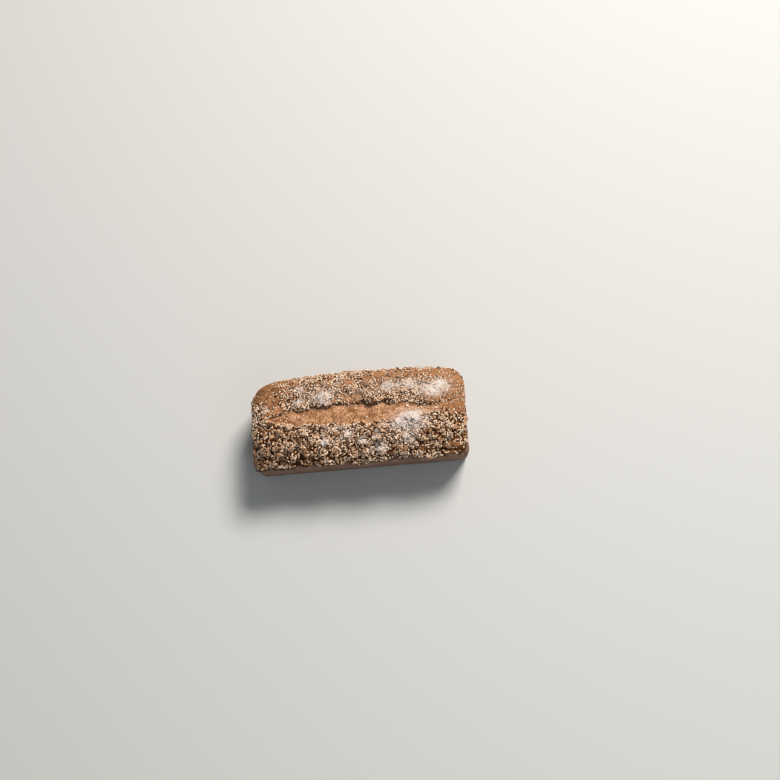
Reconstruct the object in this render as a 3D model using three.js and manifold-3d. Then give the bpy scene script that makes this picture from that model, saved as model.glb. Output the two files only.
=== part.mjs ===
// A seeded spelt loaf baked in a tin: one solid of bread with smooth tapered sides, a domed top
// that swells over the line of the tin's rim, a long split torn open along the top, and seeds
// baked into the dome. Millimetres, +Z up, +X along the loaf. The origin is on the flat base,
// under the middle of the dome.

import * as THREE from "three";
import { LoftGeometry } from "three/addons/geometries/LoftGeometry.js";
import { mergeVertices } from "three/addons/utils/BufferGeometryUtils.js";
import Module from "manifold-3d";

// Driving dimensions: the dome
const LENGTH = 253;
const WIDTH = 114;
const HEIGHT = 84;
const SHOULDER_HEIGHT = 58; // where the dome is widest
const DOME_CORNERS = [22, 30, 11, 10]; // radii in plan, counterclockwise from +X +Y
const PLAIN_CORNER = 25; // corner of the plain outline that the split follows
const BOW = [6.5, 8.5]; // how far the +Y side falls back to the +X and the -X end
const END_SLANT = 0.045; // how far the +X end leans out of square, to its width
const ARCH = 8; // how far the top falls from the middle to the ends
const FULLNESS = 0.82; // under 1 makes the dome's section squarer than an ellipse

// The tin's shape, left in the sides
const RIM_HEIGHT = 51;
const RIM_LENGTH = 250;
const RIM_WIDTH = 105;
const BASE_LENGTH = 251;
const BASE_WIDTH = 95;
const TIN_CORNERS = [13, 13, 6, 4]; // radii in plan, in the same order
const TIN_MIDDLE = new THREE.Vector2(1.2, -2); // the middle of the tin's outlines
const EDGE_RADIUS = 3; // round edge between base and sides
const CREASE_DEPTH = 0.7; // groove under the dough that rolled over the rim
const CREASE_HEIGHT = 2;
const CORNER_BLEND = 0.7; // share of the dome's corners in the sides' corners at the rim
const ROLL_OUT = 0.75; // how far out and up the roll's middle lies between groove and shoulder
const ROLL_UP = 0.4;

// The split
const SPLIT_LENGTH = 205;
const SPLIT_MIDDLE = -6; // its middle, along the loaf
const SPLIT_WIDTH = 25;
const SPLIT_POINTED = 1.15; // over 1 makes its ends sharper than an ellipse's
const SPLIT_SPREAD = 1.6; // over 1 moves the places along the lips towards the ends
const SPLIT_OFFSET = -0.5; // its line, towards +Y
const SPLIT_SLANT = -0.01; // change of that along the loaf
const FAR_LIP = 4.8; // drop from the torn lip to the bare band, on the +Y side
const NEAR_LIP = 1.8; // the same on the -Y side
const BAND_RISE = 1; // the bare band is a little higher along its middle
const OPEN_REACH = 0.5; // the split is fully open this share of the way in from its tips
const LIP_LEAN = 0.08; // share of the half width that the torn lip slopes over
const BAND_END = 0.85; // share of the half width where the band's two halves meet
const TEAR_WAVE = 27; // length of the long waves in the torn lips
const TEAR_PACE = 2.3; // short waves to a long one
const TEAR_LONG = 1.14; // depths of the long and the short waves
const TEAR_SHORT = 0.95;
const LIP_BULGE = 0.4; // how far a blister by the lip pushes it over the band, to its height

// Lumps in the dough
const LUMP_WAVES = 6;
const LUMP_LENGTH = 62;
const LUMP_DEPTH = 0.9;
const LUMP_SHRINK = 0.76; // each wave is this share of the one before
const LUMP_START = 0.3; // lumps have their full depth from this place up the dome
const GOLDEN_ANGLE = Math.PI * (3 - Math.sqrt(5));

// Crags in the crust
const CRAG_SPACING = 11.5; // least distance between the middles of two crags
const CRAG_TRIES = 1600; // places tried for them
const CRAG_DEPTH = 2.6; // from the gaps between them to their tops
const CRAG_REACH = 9; // from a crag's middle to its foot
const CRAG_START = 0.12; // crags have their full depth from this place up the dome
const FAR_CRAGS = 0.55; // share of the depth on the +Y side of the split
const CRAG_CHANGE = [-4, 12]; // where that changes, towards -Y from the split's line

// Blisters in the crust, each as its place in plan, radius and height
const BLISTERS = [
  { x: -41, y: 18, radius: 11, height: 3.4 },
  { x: -70, y: 16, radius: 10, height: 2.6 },
  { x: 14, y: 14, radius: 12, height: 3 },
  { x: 40, y: 13, radius: 11, height: 2.4 },
  { x: -28, y: -19, radius: 13, height: 1.4 },
  { x: 84, y: -28, radius: 15, height: 2.2 },
  { x: 42, y: -34, radius: 11, height: 2 },
  { x: -97, y: -22, radius: 13, height: 1.6 },
];

// Seeds, as length, width and thickness
const KERNEL = [9.5, 4.8, 3.2]; // sunflower
const SESAME = [3.4, 2.3, 1.6];
const KERNELS = 36;
const SESAME_SEEDS = 42;
const SEED_GAP = 1.5; // least distance between two seeds, beyond their half lengths
const SEED_SUNK = 0.05; // share of the thickness by which a seed's middle lies under the crust
const SEED_RISE = [0.17, 0.9]; // lowest and highest place on the dome

// Corners without seeds, each as its place in plan and reach
const BARE_CORNERS = [
  { x: 114, y: 26, reach: 34 },
  { x: -112, y: 36, reach: 16 },
];

// Faceting
const AROUND = 132;
const EDGE_STEPS = 2;
const WALL_STEPS = 2;
const DOME_STEPS = 15;
const BAND_STEPS = 2;
const SEED_SIDES = 5;
const SEED_LEVELS = 4;

const CRUST = new THREE.MeshStandardMaterial({ color: 0xb28561, roughness: 0.85, metalness: 0 });

const { lerp, smoothstep, clamp, degToRad } = THREE.MathUtils;

// A rectangle with round corners, counterclockwise from +X as four quarters that take an equal
// share of t each
function roundedOutline(length, width, radii) {
  const signs = [[1, 1], [-1, 1], [-1, -1], [1, -1]];
  const quarters = radii.map((radius, i) => {
    const [side, way] = signs[i];
    const x = side * (length / 2 - radius);
    const y = way * (width / 2 - radius);
    const even = i % 2 === 0;
    const path = new THREE.Path();
    path.moveTo(even ? (side * length) / 2 : 0, even ? 0 : (way * width) / 2);
    path.lineTo(even ? (side * length) / 2 : x, even ? y : (way * width) / 2);
    path.absarc(x, y, radius, (i * Math.PI) / 2, ((i + 1) * Math.PI) / 2);
    path.lineTo(even ? 0 : (side * length) / 2, even ? (way * width) / 2 : 0);
    return path;
  });
  return (t) => quarters[Math.floor(4 * t)].getPointAt((4 * t) % 1);
}

const domeOutline = roundedOutline(LENGTH, WIDTH, DOME_CORNERS);
const plainOutline = roundedOutline(LENGTH, WIDTH, Array(4).fill(PLAIN_CORNER));

// The widest outline of the dome, which swells on the +Y side and has a slanted +X end
function shoulderPoint(t) {
  const p = domeOutline(t);
  const side = clamp(p.y / (WIDTH / 2), 0, 1);
  const along = p.x / (LENGTH / 2);
  p.x += END_SLANT * p.y * Math.max(along, 0);
  p.y -= BOW[along > 0 ? 0 : 1] * side * along ** 2;
  return p;
}

// Waves in the torn lips, which differ on the two sides
function tear(x, side) {
  const wave = (2 * Math.PI * x) / TEAR_WAVE;
  return TEAR_LONG * Math.sin(wave + side) + TEAR_SHORT * Math.sin(TEAR_PACE * wave - 2 * side);
}

// The line along the middle of the split
function splitLine(x) {
  return SPLIT_OFFSET + SPLIT_SLANT * x;
}

// Angle of a place around the split's lens, from the place around the loaf
function splitAngle(t) {
  const p = plainOutline(t);
  return Math.atan2(p.y / (SPLIT_SPREAD * WIDTH), p.x / LENGTH);
}

// How far a place around the loaf lies across the split, from -1 to 1
function splitReach(t) {
  const across = Math.sin(splitAngle(t));
  return Math.sign(across) * Math.abs(across) ** SPLIT_POINTED;
}

// The torn edge of the split: a long lens with wavy lips
function lipPoint(t) {
  const x = SPLIT_MIDDLE + (SPLIT_LENGTH / 2) * Math.cos(splitAngle(t));
  const reach = splitReach(t);
  const plainLip = splitLine(x) + (SPLIT_WIDTH / 2) * reach;
  const half = SPLIT_WIDTH / 2 + tear(x, Math.sign(reach)) - LIP_BULGE * blisters(x, plainLip);
  return new THREE.Vector2(x, splitLine(x) + half * reach);
}

// Height of the dome's top along the loaf
function topHeight(x) {
  return HEIGHT - ARCH * (x / (LENGTH / 2)) ** 2;
}

// Lumps in the dough: crossed waves, each shorter and shallower than the one before
function lumps(x, y) {
  let sum = 0;
  for (let i = 0; i < LUMP_WAVES; i++) {
    const share = LUMP_SHRINK ** i;
    const heading = i * GOLDEN_ANGLE;
    const along = x * Math.cos(heading) + y * Math.sin(heading);
    const phase = (2 * Math.PI * along) / (LUMP_LENGTH * share) + i * heading;
    sum += LUMP_DEPTH * share * Math.sin(phase);
  }
  return sum;
}

// Blisters in the crust: round swellings that fade out at their radius
function blisters(x, y) {
  return BLISTERS.reduce((sum, blister) => {
    const away = Math.hypot(x - blister.x, y - blister.y) / blister.radius;
    return sum + blister.height * (1 - smoothstep(away, 0, 1));
  }, 0);
}

// The smooth arch of the dome from the shoulder, where rise is 0, to the split's lip, where it is 1
function archPlace(t, rise) {
  const angle = degToRad(90 * rise);
  const foot = shoulderPoint(t);
  const lip = lipPoint(t);
  const plan = foot.clone().lerp(lip, 1 - Math.cos(angle) ** FULLNESS);
  const point = new THREE.Vector3(plan.x, plan.y, lerp(SHOULDER_HEIGHT, topHeight(plan.x), Math.sin(angle)));
  const level = foot.sub(lip).setLength(Math.cos(angle));
  return { point, out: new THREE.Vector3(level.x, level.y, Math.sin(angle)) };
}

// Evenly spread pairs of numbers between 0 and 1, by the plastic ratio
function spreadPair(i) {
  const ratio = 1.324717957244746;
  return [(0.5 + i / ratio) % 1, (0.5 + i / ratio ** 2) % 1];
}

// Middles of the crags: evenly spread places of the arch, each clear of those before it
const cragMiddles = [];
for (let i = 0; i < CRAG_TRIES; i++) {
  const { point } = archPlace(...spreadPair(i));
  if (cragMiddles.every((middle) => middle.distanceTo(point) > CRAG_SPACING)) {
    cragMiddles.push(point);
  }
}

// Crags in the crust: each is highest at its middle and falls smoothly to the gaps
function crags(point) {
  const nearest = Math.min(...cragMiddles.map((middle) => middle.distanceTo(point)));
  const near = smoothstep(splitLine(point.x) - point.y, ...CRAG_CHANGE);
  return CRAG_DEPTH * lerp(FAR_CRAGS, 1, near) * (0.5 - smoothstep(nearest, 0, CRAG_REACH));
}

// A point of the dome: the arch with its lumps, blisters and crags
function domePoint(t, rise) {
  const { point, out } = archPlace(t, rise);
  const swell = (lumps(point.x, point.y) + blisters(point.x, point.y)) * smoothstep(rise, 0, LUMP_START);
  return point.clone().addScaledVector(out, swell + crags(point) * smoothstep(rise, 0, CRAG_START));
}

// The outward direction of the dome, square to the surface
function domeNormal(t, rise) {
  const step = 1e-3;
  const around = domePoint((t + step) % 1, rise).sub(domePoint((t - step + 1) % 1, rise));
  const up = domePoint(t, rise + step).sub(domePoint(t, rise - step));
  return around.cross(up).normalize();
}

// A point of the bare band in the split. Way is 0 under the lip and 1 near the band's middle
function bandPoint(t, way) {
  const lip = lipPoint(t);
  const reach = splitReach(t);
  const drop = lerp(reach > 0 ? FAR_LIP : NEAR_LIP, (FAR_LIP + NEAR_LIP) / 2 - BAND_RISE, way);
  const open = smoothstep(Math.abs(reach), 0, OPEN_REACH);
  const z = lerp(domePoint(t, 1).z, topHeight(lip.x) - drop, open);
  return new THREE.Vector3(lip.x, lerp(lip.y, splitLine(lip.x), lerp(LIP_LEAN, BAND_END, way)), z);
}

// One closed ring of the skin from a function of the place around the loaf
function ring(place) {
  return Array.from({ length: AROUND }, (_, i) => place(i / AROUND));
}

// A ring of the tin's shape at a height, drawn in by some distance
function tinRing(height, inset) {
  const rise = height / RIM_HEIGHT;
  const length = lerp(BASE_LENGTH, RIM_LENGTH, rise) - 2 * inset;
  const width = lerp(BASE_WIDTH, RIM_WIDTH, rise) - 2 * inset;
  const blend = CORNER_BLEND * rise ** 2;
  const corners = DOME_CORNERS.map((dome, i) => lerp(TIN_CORNERS[i], dome, blend) - inset / 2);
  const outline = roundedOutline(length, width, corners);
  return ring((t) => {
    const p = outline(t);
    return new THREE.Vector3(p.x + TIN_MIDDLE.x, p.y + TIN_MIDDLE.y, height);
  });
}

// The bread as rings from the base, up the sides and over the dome into the split
function breadGeometry() {
  const rings = [];
  for (let i = 0; i <= EDGE_STEPS; i++) {
    const angle = degToRad((90 * i) / EDGE_STEPS);
    rings.push(tinRing(EDGE_RADIUS * (1 - Math.cos(angle)), EDGE_RADIUS * (1 - Math.sin(angle))));
  }
  for (let i = 1; i <= WALL_STEPS; i++) {
    rings.push(tinRing(lerp(EDGE_RADIUS, RIM_HEIGHT - CREASE_HEIGHT, i / WALL_STEPS), 0));
  }
  const crease = tinRing(RIM_HEIGHT, CREASE_DEPTH);
  const shoulder = ring((t) => domePoint(t, 0));
  const roll = crease.map((p, i) => {
    const q = shoulder[i];
    return new THREE.Vector3(lerp(p.x, q.x, ROLL_OUT), lerp(p.y, q.y, ROLL_OUT), lerp(p.z, q.z, ROLL_UP));
  });
  rings.push(crease, roll, shoulder);
  for (let i = 1; i <= DOME_STEPS; i++) {
    rings.push(ring((t) => domePoint(t, i / DOME_STEPS)));
  }
  for (let i = 0; i <= BAND_STEPS; i++) {
    rings.push(ring((t) => bandPoint(t, i / BAND_STEPS)));
  }
  return new LoftGeometry(rings, { capStart: true, capEnd: true });
}

// Lays seeds evenly over the dome, clear of the bare corners and of the seeds already there
function laySeeds(count, size, laid) {
  const full = laid.length + count;
  for (let i = laid.length; laid.length < full; i++) {
    const [t, share] = spreadPair(i);
    const rise = lerp(...SEED_RISE, Math.sqrt(share));
    const point = domePoint(t, rise);
    const bare = BARE_CORNERS.some(({ x, y, reach }) => Math.hypot(point.x - x, point.y - y) < reach);
    const crowded = laid.some((seed) => {
      return seed.point.distanceTo(point) < (seed.size[0] + size[0]) / 2 + SEED_GAP;
    });
    if (!bare && !crowded) {
      laid.push({ point, normal: domeNormal(t, rise), turn: i * GOLDEN_ANGLE, size });
    }
  }
}

// A seed as a coarse ellipsoid, half sunk in the crust
function seedGeometry({ point, normal, turn, size }) {
  const [length, width, thickness] = size;
  const up = new THREE.Vector3(0, 0, 1);
  const lie = new THREE.Quaternion().setFromUnitVectors(up, normal);
  const spin = new THREE.Quaternion().setFromAxisAngle(up, turn);
  const middle = point.clone().addScaledVector(normal, -SEED_SUNK * thickness);
  const place = new THREE.Matrix4().compose(middle, lie.multiply(spin), new THREE.Vector3(1, 1, 1));
  const ball = new THREE.SphereGeometry(0.5, SEED_SIDES, SEED_LEVELS);
  return ball.scale(length, width, thickness).applyMatrix4(place);
}

const wasm = await Module();
wasm.setup();

// A closed geometry as a solid that can be joined
function solid(geometry) {
  const bare = new THREE.BufferGeometry().copy(geometry);
  bare.deleteAttribute("normal");
  bare.deleteAttribute("uv");
  const merged = mergeVertices(bare);
  const mesh = new wasm.Mesh({
    numProp: 3,
    vertProperties: merged.attributes.position.array,
    triVerts: new Uint32Array(merged.index.array),
  });
  return new wasm.Manifold(mesh);
}

// A solid as a geometry
function geometryOf(joined) {
  const { vertProperties, triVerts } = joined.getMesh();
  const geometry = new THREE.BufferGeometry();
  geometry.setAttribute("position", new THREE.BufferAttribute(vertProperties, 3));
  geometry.setIndex(new THREE.BufferAttribute(triVerts, 1));
  geometry.computeVertexNormals();
  return geometry;
}

const seeds = [];
laySeeds(KERNELS, KERNEL, seeds);
laySeeds(SESAME_SEEDS, SESAME, seeds);
const bread = solid(breadGeometry());
const joined = seeds.reduce((sum, seed) => sum.add(solid(seedGeometry(seed))), bread);

const loaf = new THREE.Mesh(geometryOf(joined), CRUST);
loaf.name = "loaf";

const part = new THREE.Group();
part.add(loaf);

export default part;
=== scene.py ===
"""The looks of a seeded spelt loaf: its crust and torn split, seeds, flour, and a plain stage."""
import math
from typing import NamedTuple

import bmesh
import bpy
import numpy as np
from bpy.props import FloatProperty, FloatVectorProperty, IntProperty, PointerProperty
from bpy.types import Operator, Panel, PropertyGroup
from mathutils import Matrix, Vector


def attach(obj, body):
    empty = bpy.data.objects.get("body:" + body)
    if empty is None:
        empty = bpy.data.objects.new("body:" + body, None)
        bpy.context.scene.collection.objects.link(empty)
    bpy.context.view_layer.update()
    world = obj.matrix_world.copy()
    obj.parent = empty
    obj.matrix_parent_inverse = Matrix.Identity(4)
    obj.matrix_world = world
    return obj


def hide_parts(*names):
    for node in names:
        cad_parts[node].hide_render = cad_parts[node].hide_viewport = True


bl_info = {
    "name": "Seeded loaf",
    "version": (1, 0, 0),
    "blender": (4, 5, 0),
    "location": "3D View > Sidebar > Loaf",
    "description": "Builds the crust, seeds, flour and stage of a seeded tin loaf",
    "category": "Add Mesh",
}

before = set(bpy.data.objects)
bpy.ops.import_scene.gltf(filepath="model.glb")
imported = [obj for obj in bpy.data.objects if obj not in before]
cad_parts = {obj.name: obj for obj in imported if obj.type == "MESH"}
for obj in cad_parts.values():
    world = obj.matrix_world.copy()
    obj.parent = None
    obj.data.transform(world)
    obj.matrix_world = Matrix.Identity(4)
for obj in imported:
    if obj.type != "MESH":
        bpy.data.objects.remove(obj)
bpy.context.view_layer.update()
GOLDEN_ANGLE = math.pi * (3 - math.sqrt(5))
PLASTIC_RATIO = 1.324717957244746


def size(name, default, description):
    """A length in metres that a user may change."""
    return FloatProperty(name=name, description=description, default=default, precision=4, unit="LENGTH")


def lengths(name, default, description):
    """A few lengths in metres that a user may change."""
    return FloatVectorProperty(
        name=name, description=description, default=default, size=len(default), precision=4, unit="LENGTH",
    )


def ratio(name, default, description):
    """A plain number that a user may change."""
    return FloatProperty(name=name, description=description, default=default, precision=3)


def number(name, default, description):
    """A count that a user may change."""
    return IntProperty(name=name, description=description, default=default, min=1)


def colour(name, default, description):
    """A linear colour that a user may change."""
    return FloatVectorProperty(
        name=name, description=description, default=default, subtype="COLOR", min=0, max=1,
    )


class LoafShape(PropertyGroup):
    """Sizes of the bread, as in the solid, and of its small crags."""

    length: size("Length", 0.253, "Over the dome")
    width: size("Width", 0.114, "Over the dome")
    height: size("Height", 0.084, "From the base to the top of the dome")
    shoulder_height: size("Shoulder height", 0.058, "Where the dome is widest")
    corners: lengths("Dome corners", (0.022, 0.030, 0.011, 0.010), "Radii counterclockwise from +X +Y")
    plain_corner: size("Plain corner", 0.025, "Corner of the plain outline that the split follows")
    bow: lengths("Bow", (0.0065, 0.0085), "How far the +Y side falls back to the +X and the -X end")
    end_slant: ratio("End slant", 0.045, "How far the +X end leans out of square, to its width")
    arch: size("Arch", 0.008, "How far the top falls from the middle to the ends")
    fullness: ratio("Fullness", 0.82, "Under 1 makes the section squarer than an ellipse")
    rim_height: size("Rim height", 0.051, "Line of the tin's rim")
    rim_length: size("Rim length", 0.250, "Length at the rim's line")
    rim_width: size("Rim width", 0.105, "Width at the rim's line")
    base_length: size("Base length", 0.251, "Length of the base")
    base_width: size("Base width", 0.095, "Width of the base")
    tin_corners: lengths("Tin corners", (0.013, 0.013, 0.006, 0.004), "Radii in the same order")
    tin_middle: lengths("Tin middle", (0.0012, -0.002), "Middle of the tin's outlines in plan")
    edge_radius: size("Edge radius", 0.003, "Round edge between base and sides")
    crease_depth: size("Crease depth", 0.0007, "Groove under the rolled dough")
    crease_height: size("Crease height", 0.002, "Height of the groove's lower slope")
    lump_length: size("Lump length", 0.062, "Longest wave of the lumps in the dough")
    lump_depth: size("Lump depth", 0.0009, "Height of that wave")
    lump_shrink: ratio("Lump shrink", 0.76, "Each wave is this share of the one before")
    lump_waves: number("Lump waves", 6, "Number of crossed waves")
    crag_depth: size("Crag depth", 0.0026, "Height of the crags in the crust above the gaps between them")
    crag_spacing: size("Crag spacing", 0.0115, "Least distance between the middles of two crags")
    crag_reach: size("Crag reach", 0.009, "From a crag's middle to its foot")
    clod_size: size("Clod size", 0.0052, "Distance between the clods on the crags")
    grain_depth: size("Grain depth", 0.0007, "Height of the fine grain of the crust")


class LoafSplit(PropertyGroup):
    """Sizes of the split along the top."""

    length: size("Split length", 0.205, "From tip to tip")
    middle: size("Split middle", -0.006, "Its middle, along the loaf")
    width: size("Split width", 0.025, "At its widest")
    pointed: ratio("Pointed", 1.15, "Over 1 makes the ends sharper than an ellipse's")
    spread: ratio("Spread", 1.6, "Over 1 moves the places along the lips towards the ends")
    offset: size("Offset", -0.0005, "Its line, towards +Y")
    slant: ratio("Slant", -0.010, "Change of that along the loaf")
    far_lip: size("Far lip", 0.0048, "Drop from the torn lip to the bare band, on the +Y side")
    near_lip: size("Near lip", 0.0018, "The same on the -Y side")
    band_rise: size("Band rise", 0.001, "Rise of the bare band along its middle")
    tear_wave: size("Tear wave", 0.027, "Length of the waves in the torn lips")
    tear_depth: size("Tear depth", 0.0019, "Depth of those waves")
    bulge: ratio("Lip bulge", 0.4, "How far a blister by the lip pushes it over the band, to its height")
    overhang: size("Overhang", 0.0031, "How far the far lip is undercut")


class LoafSeeds(PropertyGroup):
    """Sizes and numbers of the seeds."""

    sesame: lengths("Sesame", (0.0032, 0.0015, 0.0010), "Length, width and thickness of a sesame seed")
    linseed: lengths("Linseed", (0.0045, 0.0023, 0.0011), "Length, width and thickness of a linseed")
    kernel: lengths("Kernel", (0.0095, 0.0048, 0.0032), "Length, width and thickness of a kernel")
    flake: lengths("Flake", (0.0066, 0.0046, 0.0013), "Length, width and thickness of a spelt flake")
    kernels: number("Even kernels", 36, "Kernels spread as in the solid")
    sesame_cell: size("Sesame cell", 0.0022, "Side of the cell that holds one sesame seed")
    linseed_cell: size("Linseed cell", 0.0125, "Side of the cell that holds one linseed")
    flake_cell: size("Flake cell", 0.0095, "Side of the cell that holds one flake")


class LoafColours(PropertyGroup):
    """Linear colours of the finishes."""

    # the dark end of the crust also paints shade: where seeds crowd, in gaps and folds, and under the far
    # lip
    crust_dark: colour("Dark crust", (0.050, 0.015, 0.003), "Crust in the gaps between the seeds")
    crust_light: colour("Light crust", (0.445, 0.208, 0.093), "Crust on raised and bare places")
    band_dark: colour("Dark band", (0.19, 0.072, 0.022), "Pores of the bare band")
    band_light: colour("Light band", (0.64, 0.35, 0.195), "The bare band in the split")
    side_dark: colour("Dark side", (0.185, 0.110, 0.077), "Pores of the sides from the tin")
    side_light: colour("Light side", (0.36, 0.229, 0.168), "The sides from the tin")
    sesame_pale: colour("Pale sesame", (1.0, 0.78, 0.58), "Sesame as sown")
    sesame_toasted: colour("Toasted sesame", (0.64, 0.35, 0.17), "Sesame browned in the oven")
    # the darkest sesame also stands for painted shade on the seeds at the near left corner
    sesame_dark_and_shaded: colour("Dark sesame", (0.36, 0.265, 0.20), "Sesame that is browned most")
    linseed: colour("Linseed", (0.045, 0.020, 0.010), "Linseeds")
    linseed_light: colour("Light linseed", (0.13, 0.060, 0.025), "Paler linseeds")
    kernel_pale: colour("Pale kernel", (0.32, 0.20, 0.14), "Sunflower kernels")
    kernel_toasted: colour("Toasted kernel", (0.12, 0.066, 0.039), "Browned sunflower kernels")
    flake_pale: colour("Pale flake", (0.52, 0.305, 0.175), "Spelt flakes")
    flake_tan: colour("Tan flake", (0.37, 0.188, 0.09), "Browned spelt flakes")
    flake_brown: colour("Brown flake", (0.17, 0.080, 0.035), "Dark spelt flakes")
    flour: colour("Flour", (0.74, 0.66, 0.615), "Flour on the crust")
    floor: colour("Floor", (0.62, 0.62, 0.61), "Plain floor")


class LoafStage(PropertyGroup):
    """Camera, lights and floor."""

    elevation: ratio("Elevation", 73.1, "Camera's angle above the floor, in degrees")
    azimuth: ratio("Azimuth", -4.95, "Camera's turn about the loaf, in degrees")
    distance: size("Distance", 1.068, "From the camera to the loaf's middle along its axis")
    aim_height: size("Aim height", 0.040, "Height of the loaf's middle")
    picture_x: ratio("Picture X", 359.85, "Pixel column where the loaf's middle shows")
    picture_y: ratio("Picture Y", 421.36, "Pixel row where the loaf's middle shows")
    picture_size: ratio("Picture size", 780.0, "Pixels across the picture")
    focal_pixels: ratio("Focal length", 889.0, "Focal length in pixels")
    key_place: lengths("Key place", (1.05, 1.50, 2.32), "Where the large soft light hangs")
    key_side: size("Key side", 1.1, "Side of the large soft light, a square")
    key_power: ratio("Key power", 107.0, "Watts of the large soft light")
    key_tint: colour("Key tint", (1.0, 0.955, 0.89), "Colour of the large soft light")
    fill_place: lengths("Fill place", (0.5, -1.2, 1.1), "Where the weak fill light hangs")
    fill_side: size("Fill side", 1.2, "Side of the fill light, a square")
    fill_power: ratio("Fill power", 4.0, "Watts of the fill light")
    fill_tint: colour("Fill tint", (0.82, 0.91, 1.0), "Colour of the fill light")
    light_aim: size("Light aim", 0.05, "Height of the point that both lights face")
    sky: ratio("Sky", 0.19, "Strength of the even light all round")
    sky_tint: colour("Sky tint", (0.91, 0.96, 1.0), "Colour of the even light")
    floor_reach: size("Floor reach", 6.0, "From the middle of the floor to its sides")


# Blisters in the crust, each as its place in plan, radius and height, as in the solid
BLISTERS = (
    (-0.041, 0.018, 0.011, 0.0034),
    (-0.070, 0.016, 0.010, 0.0026),
    (0.014, 0.014, 0.012, 0.0030),
    (0.040, 0.013, 0.011, 0.0024),
    (-0.028, -0.019, 0.013, 0.0014),
    (0.084, -0.028, 0.015, 0.0022),
    (0.042, -0.034, 0.011, 0.0020),
    (-0.097, -0.022, 0.013, 0.0016),
)

# Folds in the dough, each as its two ends in plan, half width and depth
FOLDS = (
    (0.074, -0.0335, 0.090, -0.0285, 0.0015, 0.0026),
    (0.061, -0.0410, 0.087, -0.0405, 0.0018, 0.0028),
    (0.090, -0.0490, 0.121, -0.0500, 0.0016, 0.0024),
    (0.104, -0.0550, 0.121, -0.0548, 0.0013, 0.0018),
    (-0.081, 0.0180, -0.079, 0.0070, 0.0022, 0.0026),
)

# Flour, each patch as its place in plan, its reach along X and Y, and its strength
FLOUR = (
    (0.0885, 0.0205, 0.016, 0.0095, 0.58),
    (0.098, 0.030, 0.008, 0.005, 0.50),
    (0.055, -0.016, 0.023, 0.012, 1.0),
    (0.063, -0.007, 0.014, 0.006, 0.55),
    (-0.041, 0.020, 0.011, 0.009, 0.60),
    (-0.068, 0.018, 0.008, 0.006, 0.45),
    (-0.066, 0.035, 0.007, 0.005, 0.40),
    (0.037, 0.029, 0.010, 0.006, 0.45),
    (0.061, 0.031, 0.008, 0.006, 0.40),
    (-0.0135, -0.025, 0.006, 0.006, 0.80),
    (-0.043, -0.032, 0.006, 0.005, 0.80),
    (0.002, -0.0345, 0.006, 0.004, 0.85),
    (0.021, -0.0435, 0.009, 0.006, 0.85),
    (0.055, -0.035, 0.007, 0.006, 0.80),
    (0.018, -0.0285, 0.006, 0.004, 0.70),
    (-0.065, -0.016, 0.012, 0.006, 0.40),
    (-0.028, -0.017, 0.012, 0.005, 0.45),
    (-0.108, 0.012, 0.007, 0.007, 0.35),
    (0.045, 0.004, 0.085, 0.040, 0.06),
    (0.005, -0.030, 0.075, 0.016, 0.14),
    (0.066, 0.028, 0.035, 0.018, 0.24),
    (-0.025, 0.030, 0.060, 0.020, 0.24),
    (0.108, 0.030, 0.014, 0.016, 0.20),
)

# Places drawn darker, each as its place in plan, its reach along X and Y, and how much darker
BROWNED_AND_SHADED = (
    # near left corner: painted shade, where the loaf turns away from the light
    (-0.114, -0.048, 0.036, 0.026, 0.95),
    # the far left corner and the right end: crust baked browner
    (-0.112, 0.036, 0.018, 0.014, 0.25),
    (0.112, 0.010, 0.030, 0.040, 0.10),
)

# Places with few seeds, each as its place in plan, its reach along X and Y, and the share it loses
SPARSE = (
    (0.116, 0.028, 0.022, 0.036, 0.70),
    (0.104, 0.000, 0.034, 0.009, 0.55),
    (-0.098, 0.047, 0.030, 0.009, 0.75),
    (-0.112, 0.032, 0.018, 0.014, 0.95),
    (0.088, 0.017, 0.012, 0.009, 0.7),
    (-0.074, -0.022, 0.007, 0.005, 0.7),
    (-0.089, -0.018, 0.005, 0.004, 0.6),
    (-0.005, 0.018, 0.008, 0.005, 0.85),
    (-0.092, 0.009, 0.010, 0.006, 0.8),
    (-0.011, 0.038, 0.010, 0.005, 0.7),
    (0.073, -0.027, 0.010, 0.004, 0.7),
    (0.072, 0.045, 0.032, 0.009, 0.6),
    (0.028, 0.046, 0.016, 0.006, 0.5),
    (0.110, -0.048, 0.016, 0.006, 0.9),
    (0.066, -0.044, 0.012, 0.004, 0.6),
)

# Corners without kernels, each as its place in plan and reach, as in the solid
BARE_CORNERS = (
    (0.114, 0.026, 0.034),
    (-0.112, 0.036, 0.016),
)

# Large kernels that lie on top, each as its place in plan and its turn in degrees
LARGE_KERNELS = (
    (0.012, 0.032, 20), (0.038, 0.043, 150), (0.061, 0.024, 40), (0.083, 0.030, 155),
    (0.050, 0.040, 165), (-0.041, 0.039, 110), (0.000, 0.024, 60), (-0.014, 0.021, 100),
    (-0.040, -0.015, 140), (-0.015, -0.035, 75), (-0.104, -0.006, 20), (-0.095, -0.020, 70),
    (-0.022, -0.018, 160), (0.003, -0.030, 10), (0.019, -0.024, 35), (-0.063, -0.032, 95),
    (-0.117, -0.029, 60), (-0.087, -0.039, 15), (0.080, -0.036, 120), (0.022, -0.036, 170),
)

# Layers of smooth noise, each as its weight, cell and random seed
DENTS = ((0.7, 0.019, 21), (0.3, 0.006, 22))
CRUMBS = ((0.45, 0.0065, 30), (0.4, 0.0032, 31), (0.35, 0.0016, 32))
GRAIN = ((1.0, 0.0028, 13),)
CLUMPS = ((1.0, 0.0042, 33),)
FRAY = ((0.05, 0.006, 41),)
SEED_PATCHES = ((1.0, 0.011, 14),)
SHADE_PATCHES = ((0.15, 0.011, 15),)

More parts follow.
